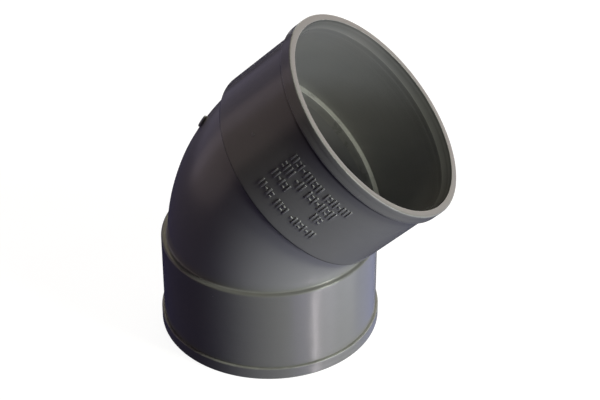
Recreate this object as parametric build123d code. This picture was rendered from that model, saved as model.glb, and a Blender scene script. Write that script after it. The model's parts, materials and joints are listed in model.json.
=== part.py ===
from build123d import *
import math
import os

# A 45-degree elbow for drain pipe, moulded in rigid PVC, with a plain cemented socket at each end.
# Millimetres. The origin is the centre of the lower mouth, +Z points up the lower socket's axis, and
# the upper socket leans towards +X. The two halves of the mould met on the plane Y = 0.

# Pipe and sockets
pipe_diameter = 110.0
bore_clearance = 0.4
socket_wall = 3.1
socket_depth = 49.7
lead_in = 1.45
lead_in_depth = 6.0

# Lip round each mouth. The lower one stands less proud than the upper one.
lip_height = 6.9
lower_lip_step = 1.4
upper_lip_step = 2.0
lip_edge_radius = 0.5

# Stop ring between each socket and the bend
stop_thickness = 4.9
ledge_edge_radius = 0.9

# Bend between the two stop rings. Its outside continues the pipe's, and its radius follows from how
# near the two ledges come to each other on the inside of the turn.
bend_angle = 45.0
throat_gap = 1.8
bend_wall = 4.0
root_radius = 0.8

# Trimmed stub of the injection gate, on the spine of the bend
gate_diameter = 7.0
gate_height = 1.4
gate_from_ledge = 22.0
gate_edge_radius = 0.3

# Raised marking on the front of the upper socket: rows of plain strokes that follow the wall. Its
# rows are placed from the middle of the plain wall, between the lip and the stop.
marking_height = 0.45
stroke_width = 0.9
stroke_pitch = 2.15
dash_length = 1.5
dash_spacing = 2.6
row_start_angle = -25.0
# Each row: how far it is from that middle, away from the mouth, the height of its upright strokes, and
# its strokes: "I" is upright, "-" is a short dash along the wall, "=" is two dashes, " " is a space.
marking_rows = (
    (-9.1, 4.6, "II=I-III=II I=II-III"),
    (-2.4, 5.4, "=III -II I=I-II=II"),
    (4.6, 4.8, "II-I=I        II="),
    (14.1, 4.6, "II-I= II=I -II=I-II"),
)

# Round pip beside the marking
pip_diameter = 2.0
pip_height = 0.25
pip_offset = 6.4
pip_angle = -46.8

# Sizes that follow from those above
bore_radius = (pipe_diameter + bore_clearance) / 2
sleeve_radius = bore_radius + socket_wall
bend_outer_radius = pipe_diameter / 2
waterway_radius = bend_outer_radius - bend_wall
ledge_depth = socket_depth + stop_thickness
plain_middle = (lip_height + socket_depth) / 2

# The planes of the two ledges cross beyond the throat. The bend's centreline is an arc that is
# tangent to both socket axes, and it starts and ends at the pipe stops.
half_turn = math.radians(bend_angle / 2)
ledge_crossing = sleeve_radius + throat_gap / 2 / math.sin(half_turn)
bend_radius = ledge_crossing + stop_thickness / math.tan(half_turn)
corner_height = socket_depth + bend_radius * math.tan(half_turn)

# Each socket is drawn with its mouth at the origin and its depth along +Z, then placed by one of these.
lower_place = Location((0, 0, 0))
lean = math.radians(bend_angle)
upper_mouth = (corner_height * math.sin(lean), 0, corner_height * (1 + math.cos(lean)))
upper_place = Location(upper_mouth) * Rotation(0, 180 + bend_angle, 0)
bend_axis = Axis((bend_radius, 0, socket_depth), (0, 1, 0))

# The spine is the longest line along the bend. The gate's station is its angle round the bend.
spine_radius = bend_radius + bend_outer_radius
ledge_angle = bend_angle - math.degrees(math.asin(stop_thickness / spine_radius))
gate_station = ledge_angle - math.degrees(gate_from_ledge / spine_radius)
gate_place = Location((bend_radius, 0, socket_depth)) * Rotation(0, gate_station - 90, 0)


def turned(outline):
    """A solid turned about Z from a closed outline of lines and arcs in the XZ plane."""
    return revolve(make_face(outline), Axis.Z)


def bent(radius):
    """A solid round bar along the bend, from one pipe stop to the other."""
    section = Plane.XY.offset(socket_depth) * Circle(radius)
    return revolve(section, bend_axis, bend_angle)


def sleeve():
    """The straight wall of a socket, whose bore widens by the lead-in towards the mouth."""
    points = [
        (bore_radius + lead_in, 0, 0),
        (sleeve_radius, 0, 0),
        (sleeve_radius, 0, socket_depth),
        (bore_radius, 0, socket_depth),
        (bore_radius, 0, lead_in_depth),
    ]
    return turned(Polyline(*points, close=True))


def mouth_lip(step):
    """The raised lip round a mouth, standing proud of the sleeve by its step, with its outer edges rounded."""
    middle = sleeve_radius + step / 2
    section = Plane.XZ * Pos(middle, lip_height / 2) * Rectangle(step, lip_height)
    outer_corners = section.vertices().group_by(Axis.X)[-1]
    return revolve(fillet(outer_corners, lip_edge_radius), Axis.Z)


def stop_ring(passage):
    """The pipe stop inside and the ledge outside, opened by the waterway."""
    middle = socket_depth + stop_thickness / 2
    section = Plane.XZ * Pos(sleeve_radius / 2, middle) * Rectangle(sleeve_radius, stop_thickness)
    ledge_corner = section.vertices().sort_by(Axis.X)[-2:].sort_by(Axis.Z)[-1]
    return revolve(fillet(ledge_corner, ledge_edge_radius), Axis.Z) - passage


def is_root(edge, place):
    """Whether an edge is the line where the bend's outside meets a socket's ledge."""
    box = edge.moved(place.inverse()).bounding_box()
    on_ledge = abs(box.min.Z - ledge_depth) < 1e-3 and abs(box.max.Z - ledge_depth) < 1e-3
    return on_ledge and box.max.Y < sleeve_radius - 1e-3


def bend(bar, passage):
    """The curved tube between the two ledges, with a small cove where it meets each one."""
    flange = Pos(0, 0, socket_depth + stop_thickness / 2) * Cylinder(sleeve_radius, stop_thickness)
    blank = bar + lower_place * flange + upper_place * flange
    for place in (lower_place, upper_place):
        blank = fillet([edge for edge in blank.edges() if is_root(edge, place)], root_radius)
    for place in (lower_place, upper_place):
        ledge = Plane(place * Location((0, 0, ledge_depth)))
        blank = split(blank, bisect_by=ledge, keep=Keep.TOP)
    return blank - passage


def gate_stub(bar):
    """A short round stub that stands square on the spine and is seated on the bend's surface."""
    sunk = gate_diameter / 2
    middle = spine_radius + (gate_height - sunk) / 2
    post = Pos(0, 0, middle) * Cylinder(gate_diameter / 2, gate_height + sunk)
    top_edge = post.edges().sort_by(Axis.Z)[-1]
    return gate_place * fillet(top_edge, gate_edge_radius) - bar


def raised_patch(depth, angle, length, width):
    """A raised patch on the sleeve: length runs along the axis, width runs round the wall."""
    section = Plane.XZ * Pos(sleeve_radius + marking_height / 2, depth) * Rectangle(marking_height, length)
    width_angle = math.degrees(width / sleeve_radius)
    patch = revolve(section, Axis.Z, width_angle)
    return Rotation(0, 0, -90 - angle - width_angle / 2) * patch


def marking_strokes():
    """Every stroke of the marking, in the upper socket's own frame."""
    strokes = []
    for offset, height, row in marking_rows:
        depth = plain_middle + offset
        for place_in_row, mark in enumerate(row):
            angle = row_start_angle + math.degrees(place_in_row * stroke_pitch / sleeve_radius)
            if mark == "I":
                strokes.append(raised_patch(depth, angle, height, stroke_width))
            elif mark == "-":
                strokes.append(raised_patch(depth, angle, stroke_width, dash_length))
            elif mark == "=":
                strokes.append(raised_patch(depth - dash_spacing / 2, angle, stroke_width, dash_length))
                strokes.append(raised_patch(depth + dash_spacing / 2, angle, stroke_width, dash_length))
    return strokes


def pip():
    """The round pip, seated on the sleeve."""
    reach = sleeve_radius + pip_height
    level = Pos(0, 0, plain_middle + pip_offset)
    outward = level * Rotation(0, 0, -90 - pip_angle) * Rotation(0, 90, 0)
    post = outward * Pos(0, 0, reach / 2) * Cylinder(pip_diameter / 2, reach)
    return post - level * Cylinder(sleeve_radius, 2 * pip_diameter)


bend_bar = bent(bend_outer_radius)
waterway = bent(waterway_radius)
nodes = {
    "lower_socket": lower_place * sleeve(),
    "lower_mouth_lip": lower_place * mouth_lip(lower_lip_step),
    "lower_stop_ring": lower_place * stop_ring(waterway),
    "bend": bend(bend_bar, waterway),
    "upper_stop_ring": upper_place * stop_ring(upper_place.inverse() * waterway),
    "upper_socket": upper_place * sleeve(),
    "upper_mouth_lip": upper_place * mouth_lip(upper_lip_step),
    "gate_stub": gate_stub(bend_bar),
    "size_marking": Compound([upper_place * stroke for stroke in marking_strokes() + [pip()]]),
}

os.makedirs("parts", exist_ok=True)
for name, shape in nodes.items():
    export_step(shape, f"parts/{name}.step")
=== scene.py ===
import json
import math

import bmesh
import bpy
from mathutils import Matrix, Vector


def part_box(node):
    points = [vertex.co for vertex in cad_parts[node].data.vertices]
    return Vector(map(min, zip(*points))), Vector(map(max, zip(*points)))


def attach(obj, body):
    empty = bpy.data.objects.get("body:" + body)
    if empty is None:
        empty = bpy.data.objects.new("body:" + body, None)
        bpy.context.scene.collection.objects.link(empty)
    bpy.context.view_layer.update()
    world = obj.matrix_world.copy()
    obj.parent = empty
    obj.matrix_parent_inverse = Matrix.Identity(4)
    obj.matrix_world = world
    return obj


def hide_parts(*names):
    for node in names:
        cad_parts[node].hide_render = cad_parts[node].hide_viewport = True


bl_info = {
    "name": "Drain Elbow",
    "version": (1, 0, 0),
    "blender": (4, 5, 0),
    "location": "3D View > Sidebar > Drain Elbow",
    "description": "Builds a 45-degree socket elbow for drain pipe in moulded grey PVC, and a studio stage",
    "category": "Add Mesh",
}

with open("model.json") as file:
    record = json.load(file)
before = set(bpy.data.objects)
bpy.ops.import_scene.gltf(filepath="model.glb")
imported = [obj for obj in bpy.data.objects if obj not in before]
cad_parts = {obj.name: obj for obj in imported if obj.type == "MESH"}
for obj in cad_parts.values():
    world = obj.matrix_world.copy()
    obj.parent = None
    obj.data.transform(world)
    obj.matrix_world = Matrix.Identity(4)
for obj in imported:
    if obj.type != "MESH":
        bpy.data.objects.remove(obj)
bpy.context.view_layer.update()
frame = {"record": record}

MM = 0.001
FULL_TURN = 2 * math.pi

# Sizes that the frame gives
mounts = {mount["name"]: mount for mount in frame["record"]["mounts"]}
sleeve_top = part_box("lower_socket")[1]
lower_lip_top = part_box("lower_mouth_lip")[1]
upper_lip_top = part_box("upper_mouth_lip")[1]
socket_depth = sleeve_top.z
ledge_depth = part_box("lower_stop_ring")[1].z
bore_size = mounts["lower_socket"]["dims"]
taper_end = socket_depth - bore_size["length_mm"] * MM
upper_mouth = Vector(mounts["upper_mouth_face"]["pos_m"])
upper_axis = Vector(mounts["upper_mouth_face"]["axis"]).normalized()
bend_angle = upper_axis.angle(Vector((0, 0, 1)))
corner_height = upper_mouth.x / math.sin(bend_angle)
bend_radius = (corner_height - socket_depth) / math.tan(bend_angle / 2)

# Each socket is drawn mouth at the origin, depth along +Z and throat towards +X, and placed by one of these.
throat_side = Vector((math.cos(bend_angle), 0, -math.sin(bend_angle)))
lower_place = Matrix.Identity(4)
upper_place = Matrix((throat_side, (0, -1, 0), -upper_axis)).transposed().to_4x4()
upper_place.translation = upper_mouth
places = {"lower": lower_place, "upper": upper_place}


# ---------------------------------------------------------------------------------------------
# Sizes, finish and stage, as a user would change them
# ---------------------------------------------------------------------------------------------

def length(name, description, default):
    """A length property in metres."""
    return bpy.props.FloatProperty(
        name=name, description=description, default=default, min=0, precision=5,
        subtype="DISTANCE", unit="LENGTH")


def colour(name, description, default):
    """A colour property."""
    return bpy.props.FloatVectorProperty(
        name=name, description=description, default=default, size=3, min=0, max=1, subtype="COLOR")


def factor(name, description, default):
    """A property between 0 and 1."""
    return bpy.props.FloatProperty(
        name=name, description=description, default=default, min=0, max=1, subtype="FACTOR")


def number(name, description, default):
    """A plain number property."""
    return bpy.props.FloatProperty(name=name, description=description, default=default)


def angle(name, description, default):
    """An angle property in radians."""
    return bpy.props.FloatProperty(
        name=name, description=description, default=default, subtype="ANGLE", unit="ROTATION")


class ElbowSizes(bpy.types.PropertyGroup):
    bore_radius: length("Bore radius", "Inside of both sockets", bore_size["r_mm"] * MM)
    sleeve_radius: length("Sleeve radius", "Outside of both sockets", sleeve_top.x)
    lower_lip: length("Lower lip radius", "Outside of the lip round the lower mouth", lower_lip_top.x)
    upper_lip: length("Upper lip radius", "Outside of the lip round the upper mouth", upper_lip_top.y)
    lip_height: length("Lip height", "How far each lip reaches from its mouth", lower_lip_top.z)
    socket_depth: length("Socket depth", "Mouth to pipe stop", socket_depth)
    ledge_depth: length("Ledge depth", "Mouth to the outside ledge", ledge_depth)
    lead_in: length("Lead-in", "How much wider the bore is at its mouth", 1.45 * MM)
    lead_in_depth: length("Lead-in depth", "Where the taper ends", taper_end)
    pipe_radius: length("Bend outer radius", "Outside of the bend, the same as the pipe's", 55.0 * MM)
    bend_wall: length("Bend wall", "Wall of the bend", 4.0 * MM)
    bend_radius: length("Bend radius", "Radius of the bend's centreline", bend_radius)
    bend_angle: angle("Bend angle", "How far the bend turns", bend_angle)
    root_radius: length("Root radius", "Cove where the bend meets a ledge", 0.8 * MM)
    ledge_edge: length("Ledge edge radius", "Rounding of each ledge's outer edge", 0.9 * MM)
    lip_edge: length("Lip edge radius", "Rounding of the lip's outer edges", 0.5 * MM)
    soft_edge: length("Soft edge radius", "Rounding of every other moulded edge", 0.2 * MM)
    row_spacing: length("Row spacing", "Spacing of the mesh rows along a wall", 1.6 * MM)
    gate_height: length("Gate height", "How far the gate stub stands out of the spine", 1.4 * MM)
    gate_edge: length("Gate edge radius", "Rounding of the gate stub's worn edge", 0.8 * MM)
    marking_height: length("Marking height", "How far the strokes stand out of the sleeve", 0.45 * MM)
    segments: bpy.props.IntProperty(
        name="Segments", description="Faces round each wall", default=240, min=24)


class ElbowFinish(bpy.types.PropertyGroup):
    pvc: colour("PVC", "Colour of the moulded grey PVC", (0.19, 0.19, 0.192))
    warm: colour("Warm PVC", "Tone that the grey drifts towards in clouds", (0.192, 0.187, 0.176))
    # The rubbed colour goes on worn mouth edges, and also as painted highlight on each lip's back edge and
    # the stop face.
    wear_and_painted_highlight: colour("Rubbed PVC", "Colour of edges rubbed in handling", (0.30, 0.30, 0.295))
    roughness: factor("Roughness", "Roughness of the moulded surface", 0.23)
    specular: factor("Specular", "Strength of the surface's gloss", 0.5)


class ElbowStage(bpy.types.PropertyGroup):
    lens: bpy.props.FloatProperty(name="Lens", description="Focal length", default=109.87, unit="CAMERA")
    distance: length("Camera distance", "Camera to the point it looks at", 0.9716)
    azimuth: angle("Camera azimuth", "Turn of the camera round the elbow", math.radians(12.23))
    elevation: angle("Camera elevation", "Height of the camera above the horizon", math.radians(35.10))
    look_x: length("Look at X", "Point that the camera looks at", 0.01696)
    look_z: length("Look at Z", "Point that the camera looks at", 0.0767)
    floor: colour("Floor", "Colour of the floor", (0.93, 0.93, 0.93))
    floor_glow: factor("Floor glow", "How much of the floor's own colour it shows without light", 1.0)
    brightness: number("Brightness", "Multiplies every lamp", 1.0)


# ---------------------------------------------------------------------------------------------
# Node trees written as expressions
# ---------------------------------------------------------------------------------------------

class Signal:
    """One output of a node. Arithmetic between signals and numbers adds Math nodes."""

    def __init__(self, graph, socket):
        self.graph = graph
        self.socket = socket

    def __add__(self, other):
        return self.graph.math("ADD", self, other)

    def __radd__(self, other):
        return self.graph.math("ADD", other, self)

    def __sub__(self, other):
        return self.graph.math("SUBTRACT", self, other)

    def __rsub__(self, other):
        return self.graph.math("SUBTRACT", other, self)

    def __mul__(self, other):
        return self.graph.math("MULTIPLY", self, other)

    def __rmul__(self, other):
        return self.graph.math("MULTIPLY", other, self)

    def __truediv__(self, other):
        return self.graph.math("DIVIDE", self, other)

    def __rtruediv__(self, other):
        return self.graph.math("DIVIDE", other, self)

    def __gt__(self, other):
        return self.graph.math("GREATER_THAN", self, other)

    def __lt__(self, other):
        return self.graph.math("LESS_THAN", self, other)


class Graph:
    """Adds nodes to one shader or geometry node tree."""

    def __init__(self, tree):
        self.tree = tree

    def add(self, kind, settings=None, inputs=None):
        """Adds a node, sets its settings, then its sockets by name or number, and returns the node."""
        node = self.tree.nodes.new(kind)
        for name, value in (settings or {}).items():
            setattr(node, name, value)
        for key, value in (inputs or {}).items():
            socket = node.inputs[key] if isinstance(key, int) else self.open_socket(node.inputs, key)
            if isinstance(value, Signal):
                self.tree.links.new(value.socket, socket)
            else:
                socket.default_value = value
        return node

    def open_socket(self, sockets, name):
        """The socket of that name that the node's settings leave in use."""
        return next(socket for socket in sockets if socket.name == name and socket.enabled)

    def get(self, kind, settings=None, inputs=None, output=0):
        """Adds a node and returns one of its outputs, by name or number."""
        node = self.add(kind, settings, inputs)
        if isinstance(output, int):
            return Signal(self, node.outputs[output])
        return Signal(self, self.open_socket(node.outputs, output))

    def math(self, operation, *values):
        return self.get("ShaderNodeMath", {"operation": operation}, dict(enumerate(values)))

    def clamp(self, value):
        return self.get("ShaderNodeMath", {"operation": "ADD", "use_clamp": True}, {0: value, 1: 0.0})

    def vector_math(self, operation, *values, output="Vector"):
        return self.get("ShaderNodeVectorMath", {"operation": operation}, dict(enumerate(values)), output)

    def split(self, vector):
        node = self.add("ShaderNodeSeparateXYZ", None, {0: vector})
        return [Signal(self, socket) for socket in node.outputs]

    def join(self, x, y, z):
        return self.get("ShaderNodeCombineXYZ", None, {0: x, 1: y, 2: z})

    def scale(self, vector, amount):
        """A vector or a colour times a number."""
        return self.get("ShaderNodeVectorMath", {"operation": "SCALE"}, {0: vector, "Scale": amount})

    def ramp(self, value, low, high):
        """0 below low, 1 above high, and smooth between."""
        settings = {"interpolation_type": "SMOOTHSTEP"}
        return self.get("ShaderNodeMapRange", settings, {"Value": value, "From Min": low, "From Max": high})

    def fade(self, value, low, high):
        """1 below low, 0 above high, and smooth between."""
        return 1 - self.ramp(value, low, high)

    def noise(self, where, scale, detail=2.0, roughness=0.5):
        """Noise from 0 to 1."""
        inputs = {"Vector": where, "Scale": scale, "Detail": detail, "Roughness": roughness}
        return self.get("ShaderNodeTexNoise", None, inputs, 0)

    def blend(self, amount, a, b):
        """A colour between a and b."""
        return self.get("ShaderNodeMix", {"data_type": "RGBA"}, {"Factor": amount, "A": a, "B": b}, "Result")


def emptied(owner):
    """The graph of a material or a world, with no nodes in it yet."""
    owner.use_nodes = True
    owner.node_tree.nodes.clear()
    return Graph(owner.node_tree)


class GeometryGraph(Graph):
    """A geometry node tree with named inputs, which ends in Realize Instances and Set Material."""

    def __init__(self, name, sockets):
        super().__init__(bpy.data.node_groups.new(name, "GeometryNodeTree"))
        for label, kind in {**sockets, "Material": "NodeSocketMaterial"}.items():
            self.tree.interface.new_socket(label, in_out="INPUT", socket_type=kind)
        self.tree.interface.new_socket("Geometry", in_out="OUTPUT", socket_type="NodeSocketGeometry")
        source = self.add("NodeGroupInput")
        self.inputs = {label: Signal(self, source.outputs[label]) for label in [*sockets, "Material"]}

    def finish(self, geometry, sharp_angle=math.radians(32)):
        """Closes seams, shades smooth between sharp edges, and gives the geometry its material."""
        merged = self.get("GeometryNodeMergeByDistance", None, {"Geometry": geometry, "Distance": 1e-6})
        smooth = self.get("GeometryNodeSetShadeSmooth", None, {"Geometry": merged})
        steep = self.get("GeometryNodeInputMeshEdgeAngle") > sharp_angle
        edges = {"Geometry": smooth, "Selection": steep, "Shade Smooth": False}
        shaded = self.get("GeometryNodeSetShadeSmooth", {"domain": "EDGE"}, edges)
        real = self.get("GeometryNodeRealizeInstances", None, {"Geometry": shaded})
        material = self.inputs["Material"]
        painted = self.get("GeometryNodeSetMaterial", None, {"Geometry": real, "Material": material})
        self.add("NodeGroupOutput", None, {"Geometry": painted})
        return self.tree


def add_object(name, data):
    """An object in the scene, at the origin."""
    added = bpy.data.objects.new(name, data)
    bpy.context.scene.collection.objects.link(added)
    return added


def grow(name, tree, values, place=Matrix.Identity(4), pattern=None):
    """Runs a geometry node tree, on a pattern if it needs one, and returns the result as a plain object."""
    host = add_object("host", pattern or bpy.data.meshes.new("host"))
    modifier = host.modifiers.new("tree", "NODES")
    modifier.node_group = tree
    for item in tree.interface.items_tree:
        if item.in_out == "INPUT" and item.name in values:
            modifier[item.identifier] = values[item.name]
    depsgraph = bpy.context.evaluated_depsgraph_get()
    mesh = bpy.data.meshes.new_from_object(host.evaluated_get(depsgraph))
    bpy.data.objects.remove(host)
    mesh.transform(place)
    mesh.name = name
    face_outwards(mesh)
    return add_object(name, mesh)


def face_outwards(mesh):
    """Turns the faces of closed shells outwards."""
    shell = bmesh.new()
    shell.from_mesh(mesh)
    bmesh.ops.recalc_face_normals(shell, faces=shell.faces)
    shell.to_mesh(mesh)
    shell.free()


def hold(piece, node):
    """The piece rides on the body, and stands for a CAD node if it has one, which is hidden."""
    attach(piece, "root")
    if node:
        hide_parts(node)


# ---------------------------------------------------------------------------------------------
# Geometry node trees
# ---------------------------------------------------------------------------------------------

def outline_curve(corners):
    """An outline as a curve object, open where it starts on the axis.

    Each corner is its distance from the axis, its depth and its rounding.
    """
    curve = bpy.data.curves.new("outline", "CURVE")
    curve.dimensions = "3D"
    spline = curve.splines.new("POLY")
    spline.points.add(len(corners) - 1)
    spline.use_cyclic_u = corners[0][0] > 0
    for point, (out, depth, rounding) in zip(spline.points, corners):
        point.co = (out, -depth, 0, 1)
        point.radius = rounding
    return add_object("outline", curve)


def turned_tree(corner_cuts=5):
    """Turns a rounded outline about Z. Inside the passage radius, the wall then follows the bend."""
    graph = GeometryGraph("Turned Wall", {
        "Outline": "NodeSocketObject", "Segments": "NodeSocketInt", "Row Spacing": "NodeSocketFloat",
        "Passage Radius": "NodeSocketFloat", "Bend Radius": "NodeSocketFloat",
        "Stop Depth": "NodeSocketFloat"})
    given = graph.inputs
    outline = graph.get("GeometryNodeObjectInfo", None, {"Object": given["Outline"]}, "Geometry")
    rounding = graph.get("GeometryNodeInputRadius")
    rounded = graph.get("GeometryNodeFilletCurve", {"mode": "POLY"}, {
        "Curve": outline, "Radius": rounding, "Limit Radius": True, "Count": corner_cuts})
    here = graph.get("GeometryNodeInputPosition")
    next_point = graph.get("GeometryNodeOffsetPointInCurve", None, {"Offset": 1}, "Point Index")
    at_next = {"Value": here, "Index": next_point}
    there = graph.get("GeometryNodeFieldAtIndex", {"data_type": "FLOAT_VECTOR"}, at_next)
    run = graph.vector_math("DISTANCE", here, there, output="Value")
    cuts = graph.math("FLOOR", run / given["Row Spacing"])
    rows = graph.get("GeometryNodeSubdivideCurve", None, {"Curve": rounded, "Cuts": cuts})
    # The ring has a radius of 1 m, so that the sweep has room inside it, and is drawn in to the axis after.
    ring = graph.get("GeometryNodeCurvePrimitiveCircle", None, {
        "Resolution": given["Segments"], "Radius": 1.0})
    wall = graph.get("GeometryNodeCurveToMesh", None, {"Curve": ring, "Profile Curve": rows})
    x, y, z = graph.split(here)
    far = graph.math("SQRT", x * x + y * y)
    out = far - 1.0
    drawn_in = graph.get("GeometryNodeSetPosition", None, {
        "Geometry": wall, "Position": graph.join(x * out / far, y * out / far, z)})
    # On the drawn-in wall, the same fields give each point's own place and distance from the axis.
    height = z - given["Stop Depth"]
    reach = given["Bend Radius"] - x
    shifted = given["Bend Radius"] - graph.math("SQRT", reach * reach - height * height)
    inside = far < given["Passage Radius"]
    followed = graph.get("GeometryNodeSetPosition", None, {
        "Geometry": drawn_in, "Selection": inside, "Position": graph.join(shifted, y, z)})
    return graph.finish(followed)


def bend_tree(outer_rows=44, cove_rows=6, inner_rows=40):
    """A curved tube between two ledges, as one grid: up the outside and its coves, then back inside."""
    graph = GeometryGraph("Bend Wall", {
        "Segments": "NodeSocketInt", "Outer Radius": "NodeSocketFloat", "Wall": "NodeSocketFloat",
        "Root Radius": "NodeSocketFloat", "Bend Radius": "NodeSocketFloat", "Bend Angle": "NodeSocketFloat",
        "Stop Depth": "NodeSocketFloat", "Stop Thickness": "NodeSocketFloat"})
    given = graph.inputs
    outer_last = outer_rows + 2 * cove_rows
    inner_last = outer_last + 1 + inner_rows
    around = given["Segments"] + 1
    grid = graph.get("GeometryNodeMeshGrid", None, {
        "Size X": 1.0, "Size Y": 1.0, "Vertices X": around, "Vertices Y": inner_last + 2})
    x, y, _ = graph.split(graph.get("GeometryNodeInputPosition"))
    turn = (x + 0.5) * FULL_TURN
    row = graph.math("ROUND", (y + 0.5) * (inner_last + 1))
    row = row * (row < inner_last + 0.5)
    is_inner = row > outer_last + 0.5
    is_outer = 1 - is_inner
    # How far each row is up the two coves, from 0 at the ledge to a quarter turn at the wall.
    quarter = math.pi / 2
    lower_turn = graph.clamp(row / cove_rows) * quarter
    upper_turn = graph.clamp((outer_last - row) / cove_rows) * quarter
    root = given["Root Radius"]
    lower_rise = (root - root * graph.math("COSINE", lower_turn)) * is_outer
    upper_rise = (root - root * graph.math("COSINE", upper_turn)) * is_outer
    lower_sine = root * graph.math("SINE", lower_turn)
    upper_sine = root * graph.math("SINE", upper_turn)
    flare = (2 * root - lower_sine - upper_sine) * is_outer
    outer_share = graph.clamp((row - cove_rows) / outer_rows)
    inner_share = (inner_last - row) / inner_rows
    share = outer_share * is_outer + inner_share * is_inner
    radius = given["Outer Radius"] + flare - given["Wall"] * is_inner
    reach = given["Bend Radius"] - radius * graph.math("COSINE", turn)
    low = graph.math("ARCSINE", (given["Stop Thickness"] + lower_rise) / reach)
    high = given["Bend Angle"] - graph.math("ARCSINE", (given["Stop Thickness"] + upper_rise) / reach)
    swing = low * (1 - share) + high * share
    place = graph.join(
        given["Bend Radius"] - reach * graph.math("COSINE", swing),
        radius * graph.math("SINE", turn),
        given["Stop Depth"] + reach * graph.math("SINE", swing))
    wall = graph.get("GeometryNodeSetPosition", None, {"Geometry": grid, "Position": place})
    return graph.finish(wall)


def marking_tree():
    """Stands one soft-edged stroke on each point of a flat pattern, then wraps the pattern round the sleeve.

    A point's place is its distance round the wall and its depth. Its stroke_size is width, length, height.
    """
    graph = GeometryGraph("Raised Marking", {
        "Pattern": "NodeSocketGeometry", "Sleeve Radius": "NodeSocketFloat", "Edge": "NodeSocketFloat"})
    given = graph.inputs
    here = graph.get("GeometryNodeInputPosition")
    marked = graph.get("GeometryNodeStoreNamedAttribute", {"data_type": "FLOAT_VECTOR"}, {
        "Geometry": given["Pattern"], "Name": "stroke_centre", "Value": here})
    # The block's vertices lie at -1, -1/3, 1/3 and 1 across and along it, and at -1, 0 and 1 up it.
    block = graph.get("GeometryNodeMeshCube", None, {
        "Size": (2.0, 2.0, 2.0), "Vertices X": 4, "Vertices Y": 4, "Vertices Z": 3})
    unit = graph.get("GeometryNodeStoreNamedAttribute", {"data_type": "FLOAT_VECTOR"}, {
        "Geometry": block, "Name": "unit_place", "Value": here})
    stood = graph.get("GeometryNodeInstanceOnPoints", None, {"Points": marked, "Instance": unit})
    real = graph.get("GeometryNodeRealizeInstances", None, {"Geometry": stood})

    def attribute(name):
        """The three parts of a named vector attribute."""
        found = graph.get("GeometryNodeInputNamedAttribute", {"data_type": "FLOAT_VECTOR"}, {"Name": name})
        return graph.split(found)

    across, along, up = attribute("unit_place")
    centre_across, centre_along, _ = attribute("stroke_centre")
    width, span, height = attribute("stroke_size")
    edge = given["Edge"]
    is_top = up > 0.5
    is_foot = up < -0.5

    def side(value, size):
        """A vertex coordinate: outer ones lean in at the top, and inner ones sit an edge width inside."""
        is_outer = graph.math("ABSOLUTE", value) > 0.9
        half = size / 2 - edge * (1 - is_outer) - edge * 0.5 * is_top * is_outer + edge * 0.3 * is_foot
        return graph.math("SIGN", value) * half

    is_inner = (graph.math("ABSOLUTE", across) < 0.9) * (graph.math("ABSOLUTE", along) < 0.9)
    rise = height * is_top - edge * 0.35 * is_top * (1 - is_inner)
    rise = rise + (height - edge) * (1 - is_top) * (1 - is_foot) - edge * 0.3 * is_foot
    radius = given["Sleeve Radius"] + rise
    turn = (centre_across + side(across, width)) / given["Sleeve Radius"]
    depth = centre_along + side(along, span)
    place = graph.join(radius * graph.math("SINE", turn), radius * graph.math("COSINE", turn), depth)
    wrapped = graph.get("GeometryNodeSetPosition", None, {"Geometry": real, "Position": place})
    return graph.finish(wrapped, sharp_angle=math.radians(75))


def bead_tree():
    """A low rounded bead along a path in the mould's parting plane, half sunk in the wall."""
    graph = GeometryGraph("Parting Bead", {
        "Path": "NodeSocketObject", "Width": "NodeSocketFloat", "Height": "NodeSocketFloat"})
    given = graph.inputs
    path = graph.get("GeometryNodeObjectInfo", None, {"Object": given["Path"]}, "Geometry")
    free = {"Curve": path, "Normal": (0.0, 1.0, 0.0)}
    turned = graph.get("GeometryNodeSetCurveNormal", {"mode": "FREE"}, free)
    ring = graph.get("GeometryNodeCurvePrimitiveCircle", None, {"Resolution": 10, "Radius": 1.0})
    scale = graph.join(given["Width"] / 2, given["Height"], 1.0)
    section = graph.get("GeometryNodeTransform", None, {"Geometry": ring, "Scale": scale})
    swept = {"Curve": turned, "Profile Curve": section, "Fill Caps": True}
    bead = graph.get("GeometryNodeCurveToMesh", None, swept)
    return graph.finish(bead)


# ---------------------------------------------------------------------------------------------
# Materials
# ---------------------------------------------------------------------------------------------

def inward_axis(place):
    """The direction from a socket's mouth to its stop."""
    return tuple(place.to_3x3() @ Vector((0, 0, 1)))


def socket_place(graph, where, place):
    """(depth, distance from the axis) of a point, measured in a socket's own frame."""
    from_mouth = graph.vector_math("SUBTRACT", where, tuple(place.translation))
    depth = graph.vector_math("DOT_PRODUCT", from_mouth, inward_axis(place), output="Value")
    distance = graph.vector_math("LENGTH", from_mouth, output="Value")
    return depth, graph.math("SQRT", distance * distance - depth * depth)


def bend_place(graph, where):
    """(swing round the bend's centre, distance from the centreline) of a point."""
    size = bpy.context.scene.elbow_sizes
    x, y, z = graph.split(where)
    back = size.bend_radius - x
    up = z - size.socket_depth
    swing = graph.math("ARCTAN2", up, back)
    reach = graph.math("SQRT", back * back + up * up)
    off = reach - size.bend_radius
    return swing, graph.math("SQRT", off * off + y * y)


def tool_rings(graph, depth, near_mouth):
    """How far the turned steel of the mould tips the surface along the axis, most where near_mouth is 1."""
    one_way = {"noise_dimensions": "1D"}
    fine = graph.get("ShaderNodeTexNoise", one_way, {"W": depth, "Scale": 2600.0, "Detail": 1.0})
    coarse = graph.get("ShaderNodeTexNoise", one_way, {"W": depth, "Scale": 620.0, "Detail": 2.0})
    return (fine - 0.5) * (0.16 + 0.16 * near_mouth) + (coarse - 0.5) * (0.03 + 0.34 * near_mouth)


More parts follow.
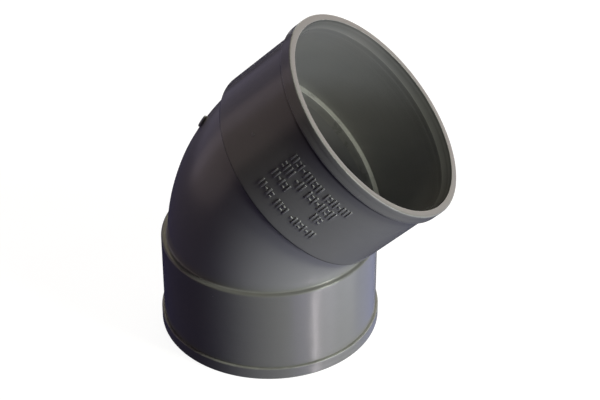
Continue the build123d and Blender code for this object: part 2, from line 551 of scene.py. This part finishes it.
def socket_marks(graph, where, end):
    """What the place on a socket does to the PVC, as four values: painted shade, wear with painted
    highlight, flow and tip.

    The painted shade darkens the lead-in and a line along the mouth's inner edge, and on the upper socket a
    band behind the lip and the ledge's rounded edge. The second value lightens it: rubbed wear on the
    mouth's edges, and painted highlight on each lip's back edge and on the stop face. Flow is the melt's
    streaks, and tip leans its normal.
    """
    size = bpy.context.scene.elbow_sizes
    place = places[end]
    depth, out = socket_place(graph, where, place)
    bore = size.bore_radius
    mouth_bore = bore + size.lead_in
    sleeve = size.sleeve_radius
    lip = size.lower_lip if end == "lower" else size.upper_lip

    # Painted shade: the lead-in and a line along the mouth's inner edge are darkened.
    in_bore = graph.fade(out, mouth_bore - 0.15 * MM, mouth_bore + 0.05 * MM)
    tapered = in_bore * graph.fade(depth, size.lead_in_depth - 3.0 * MM, size.lead_in_depth)
    mouth_line = in_bore * graph.fade(depth, 0.5 * MM, 1.7 * MM)
    painted_shade = tapered * 0.27 + mouth_line * 0.36
    if end == "upper":
        # Painted shade on the upper socket: a band behind the lip and the ledge's rounded edge are darkened.
        on_wall = graph.ramp(out, sleeve - 0.8 * MM, sleeve - 0.4 * MM)
        behind_lip = graph.ramp(depth, size.lip_height - 0.05 * MM, size.lip_height + 0.05 * MM)
        behind_lip = behind_lip * graph.fade(depth, size.lip_height + 1.4 * MM, size.lip_height + 2.6 * MM)
        ledge_edge = graph.ramp(depth, size.ledge_depth - 1.5 * MM, size.ledge_depth - 0.5 * MM)
        painted_shade = painted_shade + (behind_lip * 0.65 + ledge_edge * 0.72) * on_wall

    # Rubbed wear on the mouth's outer and inner edges.
    at_mouth = graph.fade(depth, 0.15 * MM, 1.1 * MM)
    outer_edge = graph.ramp(out, lip - 0.9 * MM, lip - 0.1 * MM) * at_mouth
    inner_edge = graph.fade(out, mouth_bore, mouth_bore + 0.6 * MM) * at_mouth * (1 - in_bore)
    # Painted highlight on the stop face and on each lip's back edge, laid on in the rubbed colour.
    stop_face_highlight = graph.ramp(depth, size.socket_depth - 0.5 * MM, size.socket_depth)
    stop_face_highlight = stop_face_highlight * graph.fade(out, bore - 0.6 * MM, bore + 0.2 * MM)
    lip_back_highlight = graph.ramp(depth, size.lip_height - 0.6 * MM, size.lip_height - 0.2 * MM)
    lip_back_highlight = lip_back_highlight * graph.ramp(out, sleeve + 0.1 * MM, sleeve + 0.5 * MM)
    wear_and_painted_highlight = outer_edge * 0.7 + inner_edge * 0.45 + stop_face_highlight * 0.6 + lip_back_highlight * 0.9

    streak = graph.noise(graph.join(out * 900.0, depth * 14.0, 0.0), 1.0, 2.0)
    band = graph.noise(graph.join(0.0, depth * 240.0, out * 40.0), 1.0, 3.0)
    flow = (streak - 0.5) * 0.02 + (band - 0.5) * 0.05
    near_mouth = graph.fade(depth, 4.5 * MM, 17 * MM)
    tip = graph.scale(inward_axis(place), tool_rings(graph, depth, near_mouth))
    return painted_shade, wear_and_painted_highlight, flow, tip


def bend_marks(graph, where):
    """What the place on the bend does to the PVC, as two values: painted shade and flow.

    The painted shade darkens the bend beside each ledge. It goes on past the ledge, so what stands on a
    socket's wall in a material without an end, such as the marking, is darkened as well.
    """
    size = bpy.context.scene.elbow_sizes
    swing, out = bend_place(graph, where)
    streak = graph.noise(graph.join(out * 120.0, swing * 5.0, 0.0), 1.0, 3.0)
    past_lower, past_upper = (
        socket_place(graph, where, place)[0] - size.ledge_depth for place in places.values())
    # Painted shade on the bend beside each ledge, and on what stands past it.
    near_lower = graph.fade(past_lower, 0.2 * MM, 1.9 * MM)
    near_upper = graph.fade(past_upper, 1.8 * MM, 4.2 * MM)
    outside = graph.ramp(out, size.pipe_radius - 1.5 * MM, size.pipe_radius - 0.5 * MM)
    painted_shade = graph.math("MAXIMUM", near_lower * 0.65, near_upper * 0.5) * outside
    return painted_shade, (streak - 0.5) * 0.08


def pvc_material(name, end=None, rub=0.0, tone=1.0, dull=0.0, broken=0.0):
    """Moulded grey PVC.

    End names the socket whose turned rings, rubbed mouth, painted shade and painted highlight it has;
    without one it takes the bend's painted shade beside the ledges. Rub wears it overall, the colour
    multiplier paints light onto a piece that the lamps leave dark, dull takes its gloss off, and broken
    gives it the coarse relief of a torn face.
    """
    finish = bpy.context.scene.elbow_finish
    material = bpy.data.materials.new(name)
    graph = emptied(material)
    where = graph.get("ShaderNodeTexCoord", None, None, "Object")
    normal = graph.get("ShaderNodeNewGeometry", None, None, "Normal")
    if end:
        painted_shade, wear_and_painted_highlight, flow, tip = socket_marks(graph, where, end)
        normal = graph.vector_math("NORMALIZE", graph.vector_math("ADD", normal, tip))
        wear_and_painted_highlight = wear_and_painted_highlight + rub
    else:
        painted_shade, flow = bend_marks(graph, where)
        wear_and_painted_highlight = rub

    cloud = graph.noise(where, 26.0, 3.0)
    drift = graph.noise(where, 75.0, 4.0, 0.6)
    grain = graph.noise(where, 1100.0, 2.0)
    fleck = graph.noise(where, 2900.0, 1.0)
    scuff = scuffs(graph, where)
    patchy = 0.35 + 0.65 * graph.ramp(drift, 0.38, 0.6)
    # Rubbed wear, painted highlight and scuffs blend the colour towards the rubbed colour, in patches.
    patchy_wear_and_highlight = graph.clamp(patchy * wear_and_painted_highlight + scuff * 0.28)
    shade = 1.0 + (cloud - 0.5) * 0.16 + (drift - 0.5) * 0.07 + flow
    # The painted shade darkens the colour, and the multiplier paints light on a piece that the lamps leave
    # dark.
    shade = (shade + (grain - 0.5) * 0.08 + (fleck - 0.5) * 0.05) * (1 - painted_shade) * tone
    base = graph.scale(tuple(finish.pvc), shade)
    warmed = graph.blend(graph.ramp(cloud, 0.35, 0.7) * 0.35, base, (*finish.warm, 1))
    coloured = graph.blend(patchy_wear_and_highlight, warmed, (*finish.wear_and_painted_highlight, 1))

    rough = finish.roughness + dull + (drift - 0.5) * 0.12 + patchy_wear_and_highlight * 0.18 + (fleck - 0.5) * 0.06
    height = grain * 0.35 + fleck * 0.2 + drift * 2.2 + cloud * 7.0 + scuff * 0.5
    if broken:
        height = height + graph.noise(where, 480.0, 4.0, 0.65) * broken
    bump = graph.get("ShaderNodeBump", None, {
        "Strength": 0.35, "Distance": 0.06 * MM, "Height": height, "Normal": normal})
    shader = graph.get("ShaderNodeBsdfPrincipled", None, {
        "Base Color": coloured, "Roughness": rough, "Normal": bump,
        "Specular IOR Level": finish.specular, "IOR": 1.53})
    graph.add("ShaderNodeOutputMaterial", None, {"Surface": shader})
    return material


def scuffs(graph, where):
    """Sparse dust specks and short handling scratches, from 0 to 1."""
    cells = {"Vector": where, "Scale": 95.0, "Randomness": 1.0}
    from_centre = graph.get("ShaderNodeTexVoronoi", None, cells, "Distance")
    chance = graph.ramp(graph.noise(where, 120.0, 1.0), 0.56, 0.66)
    speck = graph.fade(from_centre, 0.02, 0.055) * chance
    x, y, z = graph.split(where)
    slanted = graph.join(x * 30.0 + z * 22.0, y * 30.0 - z * 16.0, (z - x * 0.7 + y * 0.5) * 620.0)
    line = graph.ramp(graph.noise(slanted, 1.0, 1.0), 0.715, 0.78)
    line = line * graph.ramp(graph.noise(where, 40.0, 2.0), 0.5, 0.62)
    return graph.clamp(speck + line * 0.35)


def floor_material(stage):
    """A pale, faintly mottled matt floor that mostly glows, so that the lamps hardly mark it."""
    material = bpy.data.materials.new("pale_floor")
    graph = emptied(material)
    where = graph.get("ShaderNodeTexCoord", None, None, "Object")
    shade = 0.985 + graph.noise(where, 6.0, 3.0) * 0.03
    glow = graph.scale(tuple(stage.floor), shade)
    lamplit = graph.scale(glow, 0.25)
    shader = graph.get("ShaderNodeBsdfPrincipled", None, {
        "Base Color": lamplit, "Roughness": 0.8, "Emission Color": glow,
        "Emission Strength": stage.floor_glow})
    graph.add("ShaderNodeOutputMaterial", None, {"Surface": shader})
    return material


def material_named(name, **options):
    """The PVC of that name, made once."""
    return bpy.data.materials.get(name) or pvc_material(name, **options)


def socket_material(end):
    """The PVC of one socket, its lip and its stop ring."""
    return material_named(f"{end}_socket_pvc", end=end)


# ---------------------------------------------------------------------------------------------
# Pieces
# ---------------------------------------------------------------------------------------------

def turn_piece(name, corners, place, material, passage_radius=0.0):
    """A turned piece from its outline, in its place."""
    size = bpy.context.scene.elbow_sizes
    helper = outline_curve(corners)
    tree = bpy.data.node_groups.get("Turned Wall") or turned_tree()
    values = {
        "Outline": helper, "Segments": size.segments, "Row Spacing": size.row_spacing,
        "Passage Radius": passage_radius, "Bend Radius": size.bend_radius, "Stop Depth": size.socket_depth,
        "Material": material}
    piece = grow(name, tree, values, place)
    bpy.data.objects.remove(helper)
    return piece


class ELBOW_OT_sockets(bpy.types.Operator):
    """Turn the straight wall of each socket, with its lead-in at the mouth"""
    bl_idname = "elbow.sockets"
    bl_label = "Sockets"

    def execute(self, context):
        size = context.scene.elbow_sizes
        corners = [
            (size.bore_radius + size.lead_in, 0, size.soft_edge),
            (size.sleeve_radius, 0, 0),
            (size.sleeve_radius, size.socket_depth, 0),
            (size.bore_radius, size.socket_depth, 0),
            (size.bore_radius, size.lead_in_depth, size.soft_edge),
        ]
        for end, place in places.items():
            piece = turn_piece(f"{end}_socket_wall", corners, place, socket_material(end))
            hold(piece, f"{end}_socket")
        return {"FINISHED"}


class ELBOW_OT_mouth_lips(bpy.types.Operator):
    """Turn the raised lip round each mouth"""
    bl_idname = "elbow.mouth_lips"
    bl_label = "Mouth Lips"

    def execute(self, context):
        size = context.scene.elbow_sizes
        for (end, place), radius in zip(places.items(), (size.lower_lip, size.upper_lip)):
            corners = [
                (size.sleeve_radius, 0, 0),
                (radius, 0, size.lip_edge),
                (radius, size.lip_height, size.lip_edge),
                (size.sleeve_radius, size.lip_height, 0),
            ]
            piece = turn_piece(f"{end}_lip", corners, place, socket_material(end))
            hold(piece, f"{end}_mouth_lip")
        return {"FINISHED"}


class ELBOW_OT_stop_rings(bpy.types.Operator):
    """Turn the ring between each socket and the bend: a pipe stop inside and a ledge outside"""
    bl_idname = "elbow.stop_rings"
    bl_label = "Stop Rings"

    def execute(self, context):
        size = context.scene.elbow_sizes
        waterway = size.pipe_radius - size.bend_wall
        passage_radius = waterway + 2 * size.soft_edge
        corners = [
            (waterway, size.socket_depth, size.soft_edge),
            (size.sleeve_radius, size.socket_depth, 0),
            (size.sleeve_radius, size.ledge_depth, size.ledge_edge),
            (waterway, size.ledge_depth, 0),
        ]
        for end, place in places.items():
            piece = turn_piece(f"{end}_stop", corners, place, socket_material(end), passage_radius)
            hold(piece, f"{end}_stop_ring")
        return {"FINISHED"}


class ELBOW_OT_bend(bpy.types.Operator):
    """Sweep the curved tube between the two ledges"""
    bl_idname = "elbow.bend"
    bl_label = "Bend"

    def execute(self, context):
        size = context.scene.elbow_sizes
        values = {
            "Segments": size.segments, "Outer Radius": size.pipe_radius, "Wall": size.bend_wall,
            "Root Radius": size.root_radius, "Bend Radius": size.bend_radius, "Bend Angle": size.bend_angle,
            "Stop Depth": size.socket_depth, "Stop Thickness": size.ledge_depth - size.socket_depth,
            "Material": material_named("bend_pvc")}
        piece = grow("bend_tube", bend_tree(), values)
        hold(piece, "bend")
        return {"FINISHED"}


def spine_place(station):
    """A frame on the spine of the bend, its Z pointing out, at an angle from the lower stop."""
    size = bpy.context.scene.elbow_sizes
    centre = Matrix.Translation((size.bend_radius, 0, size.socket_depth))
    turn = Matrix.Rotation(station - math.pi / 2, 4, "Y")
    return centre @ turn @ Matrix.Translation((0, 0, size.bend_radius + size.pipe_radius))


class ELBOW_OT_gate_stub(bpy.types.Operator):
    """Turn the trimmed stub of the injection gate, whose face is torn"""
    bl_idname = "elbow.gate_stub"
    bl_label = "Gate Stub"

    def execute(self, context):
        low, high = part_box("gate_stub")
        size = context.scene.elbow_sizes
        middle = (low + high) / 2
        station = math.atan2(middle.z - size.socket_depth, size.bend_radius - middle.x)
        radius = (high.y - low.y) / 2
        # The foot is sunk in the spine, which curves away under it.
        foot = -0.5 * MM
        corners = [
            (0, foot, 0),
            (radius, foot, 0),
            (radius, size.gate_height, size.gate_edge),
            (0, size.gate_height, 0),
        ]
        # The gate's colour is lightened 2.6 times: painted light on a stub that the lamps leave in shade.
        material = material_named("gate_pvc", rub=0.3, tone=2.6, dull=0.1, broken=4.0)
        piece = turn_piece("gate_stub_broken", corners, spine_place(station), material)
        hold(piece, "gate_stub")
        return {"FINISHED"}


# Raised marking on the front of the upper socket: the angle round the wall where its rows start, and its
# strokes, which are uprights and short dashes with softened edges
row_start_angle = math.radians(-25)
stroke_pitch = 2.15 * MM
stroke_width = 0.9 * MM
stroke_edge = 0.10 * MM
dash_length = 1.5 * MM
dash_spacing = 2.6 * MM
# Its rows, as (depth of the row's middle, height of its upright strokes, strokes): "I" is upright, "-" is a
# short dash round the wall, "=" is two dashes, and " " is a space.
marking_rows = (
    (19.2 * MM, 4.6 * MM, "II=I-III=II I=II-III"),
    (25.9 * MM, 5.4 * MM, "=III -II I=I-II=II"),
    (32.9 * MM, 4.8 * MM, "II-I=I        II="),
    (42.4 * MM, 4.6 * MM, "II-I= II=I -II=I-II"),
)

# Round pip beside the marking
pip_angle = math.radians(-46.8)
pip_depth = 34.7 * MM
pip_radius = 1.0 * MM
pip_height = 0.25 * MM
pip_edge = 0.1 * MM


class ELBOW_OT_marking(bpy.types.Operator):
    """Stand the rows of raised strokes and the round pip on the front of the upper socket"""
    bl_idname = "elbow.marking"
    bl_label = "Raised Marking"

    def execute(self, context):
        size = context.scene.elbow_sizes
        height = size.marking_height
        points, sizes = [], []
        for depth, tall, row in marking_rows:
            for index, mark in enumerate(row):
                across = row_start_angle * size.sleeve_radius + index * stroke_pitch
                if mark == "I":
                    points.append((across, depth, 0))
                    sizes.append((stroke_width, tall, height))
                offsets = {"-": (0,), "=": (-dash_spacing / 2, dash_spacing / 2)}.get(mark, ())
                for offset in offsets:
                    points.append((across, depth + offset, 0))
                    sizes.append((dash_length, stroke_width, height))
        pattern = bpy.data.meshes.new("pattern")
        pattern.from_pydata(points, [], [])
        attribute = pattern.attributes.new("stroke_size", "FLOAT_VECTOR", "POINT")
        attribute.data.foreach_set("vector", [value for item in sizes for value in item])
        # Without an end this PVC takes the bend's painted shade, which darkens the strokes and the pip by
        # half.
        material = material_named("marking_pvc", rub=0.2)
        values = {"Sleeve Radius": size.sleeve_radius, "Edge": stroke_edge, "Material": material}
        piece = grow("raised_strokes", marking_tree(), values, upper_place, pattern)
        hold(piece, "size_marking")

        outward = Vector((math.sin(pip_angle), math.cos(pip_angle), 0))
        along = Vector((0, 0, 1))
        stand = Matrix((along, outward.cross(along), outward)).transposed().to_4x4()
        stand.translation = outward * size.sleeve_radius + along * pip_depth
        foot = -0.1 * MM
        corners = [
            (0, foot, 0),
            (pip_radius, foot, 0),
            (pip_radius, pip_height, pip_edge),
            (0, pip_height, 0),
        ]
        pip = turn_piece("round_pip", corners, upper_place @ stand, material)
        hold(pip, None)
        return {"FINISHED"}


class ELBOW_OT_parting_line(bpy.types.Operator):
    """Run the mould's parting line along the spine and the throat"""
    bl_idname = "elbow.parting_line"
    bl_label = "Parting Line"

    def execute(self, context):
        size = context.scene.elbow_sizes
        runs = []
        lip_depths = (size.lip_edge, size.lip_height - size.lip_edge)
        wall_depths = (size.lip_height, size.ledge_depth - size.ledge_edge)
        for place, lip_radius in zip(places.values(), (size.lower_lip, size.upper_lip)):
            for side in (-1, 1):
                for radius, depths in ((lip_radius, lip_depths), (size.sleeve_radius, wall_depths)):
                    runs.append([place @ Vector((side * radius, 0, depth)) for depth in depths])
        centre = Vector((size.bend_radius, 0, size.socket_depth))
        steps = 48
        for radius in (size.bend_radius + size.pipe_radius, size.bend_radius - size.pipe_radius):
            first = math.asin((size.ledge_depth - size.socket_depth) / radius)
            swings = [first + (size.bend_angle - 2 * first) * step / steps for step in range(steps + 1)]
            spokes = [Vector((-math.cos(swing), 0, math.sin(swing))) for swing in swings]
            runs.append([centre + radius * spoke for spoke in spokes])
        curve = bpy.data.curves.new("parting", "CURVE")
        curve.dimensions = "3D"
        for run in runs:
            spline = curve.splines.new("POLY")
            spline.points.add(len(run) - 1)
            for point, place in zip(spline.points, run):
                point.co = (*place, 1)
        helper = add_object("parting", curve)
        values = {
            "Path": helper, "Width": 0.5 * MM, "Height": 0.1 * MM, "Material": material_named("bend_pvc")}
        piece = grow("parting_line", bead_tree(), values)
        bpy.data.objects.remove(helper)
        hold(piece, None)
        return {"FINISHED"}


# The studio's soft lamps, as (name, watts, azimuth, elevation, distance, width, height, tint), with angles
# in degrees and lengths in metres about the point that the camera looks at. The key lamps stand together on
# the right. The ones below the horizon shine up through the floor, which casts no shadow. The ones at the
# back light the far side and the rims.
lamps = (
    ("key_high", 15.5, 75, 33, 1.4, 0.36, 0.46, (0.97, 1.00, 0.83)),
    ("key_low", 8.3, 67, -8, 1.4, 0.70, 0.40, (0.85, 0.93, 1.00)),
    ("key_front", 2.1, 53, 12, 1.4, 0.60, 0.40, (1.00, 0.93, 0.79)),
    ("under_front", 0.6, 45, -32, 1.4, 0.36, 0.40, (0.56, 0.44, 1.00)),
    ("under_right", 1.4, 75, -32, 1.4, 0.36, 0.40, (0.91, 0.87, 1.00)),
    ("under_side", 1.2, 98, -32, 1.4, 0.60, 0.40, (0.84, 0.87, 1.00)),
    ("under_back", 1.2, 140, -30, 1.4, 1.00, 0.70, (0.41, 0.46, 1.00)),
    ("strip", 1.5, 61, -35, 1.2, 0.05, 0.60, (1.00, 0.91, 0.98)),
    ("left", 2.3, -86, 12, 1.4, 1.30, 1.20, (1.00, 0.81, 0.74)),
    ("back_left", 1.3, -120, 14, 1.4, 1.20, 1.20, (0.75, 0.69, 1.00)),
    ("back_right", 2.1, 150, 10, 1.4, 0.70, 0.70, (1.00, 0.80, 0.80)),
    ("back", 5.0, -166, 5, 1.4, 0.70, 0.70, (1.00, 1.00, 1.00)),
    ("back_top", 4.5, -170, 35, 1.4, 1.20, 1.20, (1.00, 0.90, 0.68)),
)


def area_light(name, power, width, height, position, target, tint):
    """A soft rectangular light at a position, aimed at a target."""
    light = bpy.data.lights.new(name, "AREA")
    light.shape = "RECTANGLE"
    light.size = width
    light.size_y = height
    light.energy = power
    light.color = tint
    aim(add_object(name, light), position, target)


def aim(viewer, position, target):
    """Puts a lamp or a camera at a position and turns it to a target."""
    viewer.location = position
    viewer.rotation_euler = (target - position).to_track_quat("-Z", "Y").to_euler()


def around(azimuth, elevation, distance, centre):
    """A point round the elbow: azimuth 0 is in front, at -Y, and 90 degrees is at +X."""
    level = Vector((math.sin(azimuth), -math.cos(azimuth), 0)) * math.cos(elevation)
    return centre + (level + Vector((0, 0, math.sin(elevation)))) * distance


# The floor's radius in metres, and the faint light from all round, above and below the horizon
floor_radius = 6.0
surroundings_above = (0.004, 0.004, 0.004, 1)
surroundings_below = (0.012, 0.012, 0.048, 1)


class ELBOW_OT_stage(bpy.types.Operator):
    """Lay the floor, hang the studio lights and place the camera"""
    bl_idname = "elbow.stage"
    bl_label = "Stage"

    def execute(self, context):
        scene = context.scene
        stage = scene.elbow_stage
        mesh = bpy.data.meshes.new("floor")
        bm = bmesh.new()
        bmesh.ops.create_circle(bm, cap_ends=True, radius=floor_radius, segments=96)
        bm.to_mesh(mesh)
        bm.free()
        floor = add_object("floor", mesh)
        mesh.materials.append(floor_material(stage))
        floor.visible_diffuse = False
        floor.visible_glossy = False
        floor.visible_shadow = False

        centre = Vector((stage.look_x, 0, stage.look_z))
        for name, power, azimuth, elevation, distance, width, height, tint in lamps:
            place = around(math.radians(azimuth), math.radians(elevation), distance, centre)
            area_light(name, power * stage.brightness, width, height, place, centre, tint)

        world = bpy.data.worlds.new("studio")
        graph = emptied(world)
        direction = graph.get("ShaderNodeTexCoord", None, None, "Generated")
        below = graph.split(direction)[2] < 0.0
        surroundings = graph.blend(below, surroundings_above, surroundings_below)
        seen = graph.get("ShaderNodeLightPath", None, None, "Is Camera Ray")
        glow = graph.blend(seen, surroundings, (*stage.floor, 1))
        background = graph.get("ShaderNodeBackground", None, {"Color": glow, "Strength": 1.0})
        graph.add("ShaderNodeOutputWorld", None, {"Surface": background})
        scene.world = world
        scene.view_settings.view_transform = "Standard"

        camera_data = bpy.data.cameras.new("camera")
        camera_data.lens = stage.lens
        camera_data.sensor_fit = "HORIZONTAL"
        camera_data.sensor_width = 36.0
        camera_data.clip_start = 0.01
        camera = add_object("camera", camera_data)
        aim(camera, around(stage.azimuth, stage.elevation, stage.distance, centre), centre)
        scene.camera = camera
        return {"FINISHED"}


operators = (
    ELBOW_OT_stage, ELBOW_OT_sockets, ELBOW_OT_mouth_lips, ELBOW_OT_stop_rings, ELBOW_OT_bend,
    ELBOW_OT_gate_stub, ELBOW_OT_marking, ELBOW_OT_parting_line)


class ELBOW_PT_panel(bpy.types.Panel):
    """Lists the elbow's pieces in the sidebar"""
    bl_idname = "ELBOW_PT_panel"
    bl_label = "Drain Elbow"
    bl_space_type = "VIEW_3D"
    bl_region_type = "UI"
    bl_category = "Drain Elbow"

    def draw(self, context):
        for operator in operators:
            self.layout.operator(operator.bl_idname)


property_groups = {"elbow_sizes": ElbowSizes, "elbow_finish": ElbowFinish, "elbow_stage": ElbowStage}


def register():
    for kind in (*property_groups.values(), *operators, ELBOW_PT_panel):
        bpy.utils.register_class(kind)
    for name, kind in property_groups.items():
        setattr(bpy.types.Scene, name, bpy.props.PointerProperty(type=kind))


def unregister():
    for name in property_groups:
        delattr(bpy.types.Scene, name)
    for kind in (ELBOW_PT_panel, *reversed(operators), *reversed(property_groups.values())):
        bpy.utils.unregister_class(kind)


def main():
    register()
    bpy.ops.elbow.stage()
    bpy.ops.elbow.sockets()
    bpy.ops.elbow.mouth_lips()
    bpy.ops.elbow.stop_rings()
    bpy.ops.elbow.bend()
    bpy.ops.elbow.gate_stub()
    bpy.ops.elbow.marking()
    bpy.ops.elbow.parting_line()


if __name__ == "__main__":
    main()
